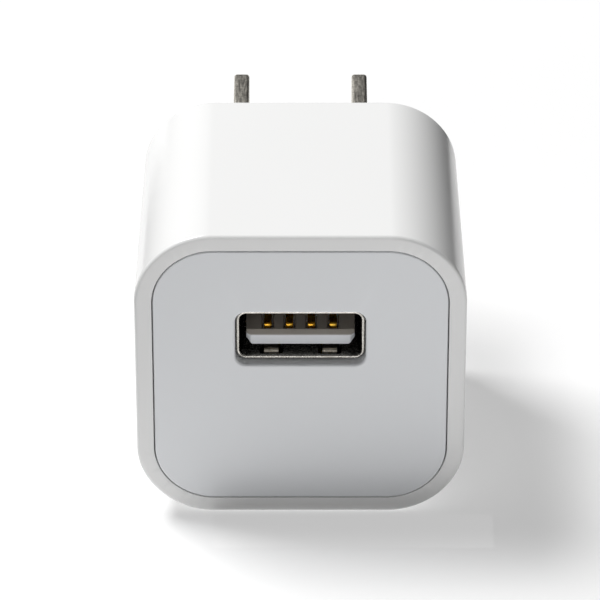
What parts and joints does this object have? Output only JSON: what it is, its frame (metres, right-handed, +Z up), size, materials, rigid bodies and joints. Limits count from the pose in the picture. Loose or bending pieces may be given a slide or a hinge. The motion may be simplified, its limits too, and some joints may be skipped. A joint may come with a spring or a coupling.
{
  "type": "usb wall charger",
  "caption": "Small cube mains charger with rounded corners, an inset front cover with a USB-A port, and a flat-bladed plug that folds into slots in its rear face.",
  "frame": {"origin": "centre of the flat rear face, which lies against the wall plate", "axes": "+Z up, +Y out of the rear face into the wall, so the USB port faces -Y; +X to the right for someone looking at the port"},
  "size_m": [0.0338, 0.0437, 0.0338],
  "materials": {
    "case_plastic": "smooth white moulding, soft gloss",
    "cover_plastic": "smooth white moulding, soft gloss, slightly cooler",
    "port_metal": "bright nickel-plated sheet",
    "port_plastic": "white moulding",
    "contact_gold": "gold-flashed contact strip",
    "blade_nickel": "nickel-plated brass, lightly brushed",
    "carrier_plastic": "white moulding, satin",
    "spring_steel": "rolled spring strip",
    "spring_bronze": "phosphor bronze strip",
    "board_laminate": "glass laminate with solder resist",
    "ferrite": "dark fired ferrite, matt",
    "bobbin_plastic": "black phenolic",
    "winding_tape": "yellow polyester tape",
    "capacitor_sleeve": "dark heat-shrunk sleeve",
    "resistor_coating": "pale blue lacquer",
    "choke_winding": "lacquered copper wire",
    "disc_coating": "blue epoxy",
    "chip_moulding": "black epoxy moulding",
    "chip_ceramic": "fired ceramic",
    "insulation_film": "insulating film"
  },
  "bodies": {
    "charger": {"housing_shell": "case_plastic", "front_cover": "cover_plastic", "usb_shell": "port_metal", "usb_insulator": "port_plastic", "usb_contact_power": "contact_gold", "usb_contact_data_minus": "contact_gold", "usb_contact_data_plus": "contact_gold", "usb_contact_ground": "contact_gold", "plug_bracket": "carrier_plastic", "detent_spring": "spring_steel", "leaf_contact_left": "spring_bronze", "leaf_contact_right": "spring_bronze", "main_board": "board_laminate", "transformer_core_rear": "ferrite", "transformer_core_front": "ferrite", "transformer_bobbin": "bobbin_plastic", "transformer_winding": "winding_tape", "input_capacitor_left": "capacitor_sleeve", "input_capacitor_right": "capacitor_sleeve", "output_capacitor_left": "capacitor_sleeve", "output_capacitor_right": "capacitor_sleeve", "fusible_resistor": "resistor_coating", "input_choke": "choke_winding", "y_capacitor": "disc_coating", "controller_chip": "chip_moulding", "bridge_rectifier": "chip_moulding", "output_diode": "chip_moulding", "chip_resistors": "chip_ceramic", "chip_capacitors": "chip_ceramic", "insulation_sheet": "insulation_film"},
    "folding_plug": {"blade_carrier": "carrier_plastic", "blade_left": "blade_nickel", "blade_right": "blade_nickel"}
  },
  "joints": [
    {"name": "blade_fold", "type": "hinge", "parent": "charger", "child": "folding_plug", "pos_m": [0, -0.0036, 0.0078], "axis": [1, 0, 0], "range_deg": [-90, 0]}
  ]
}
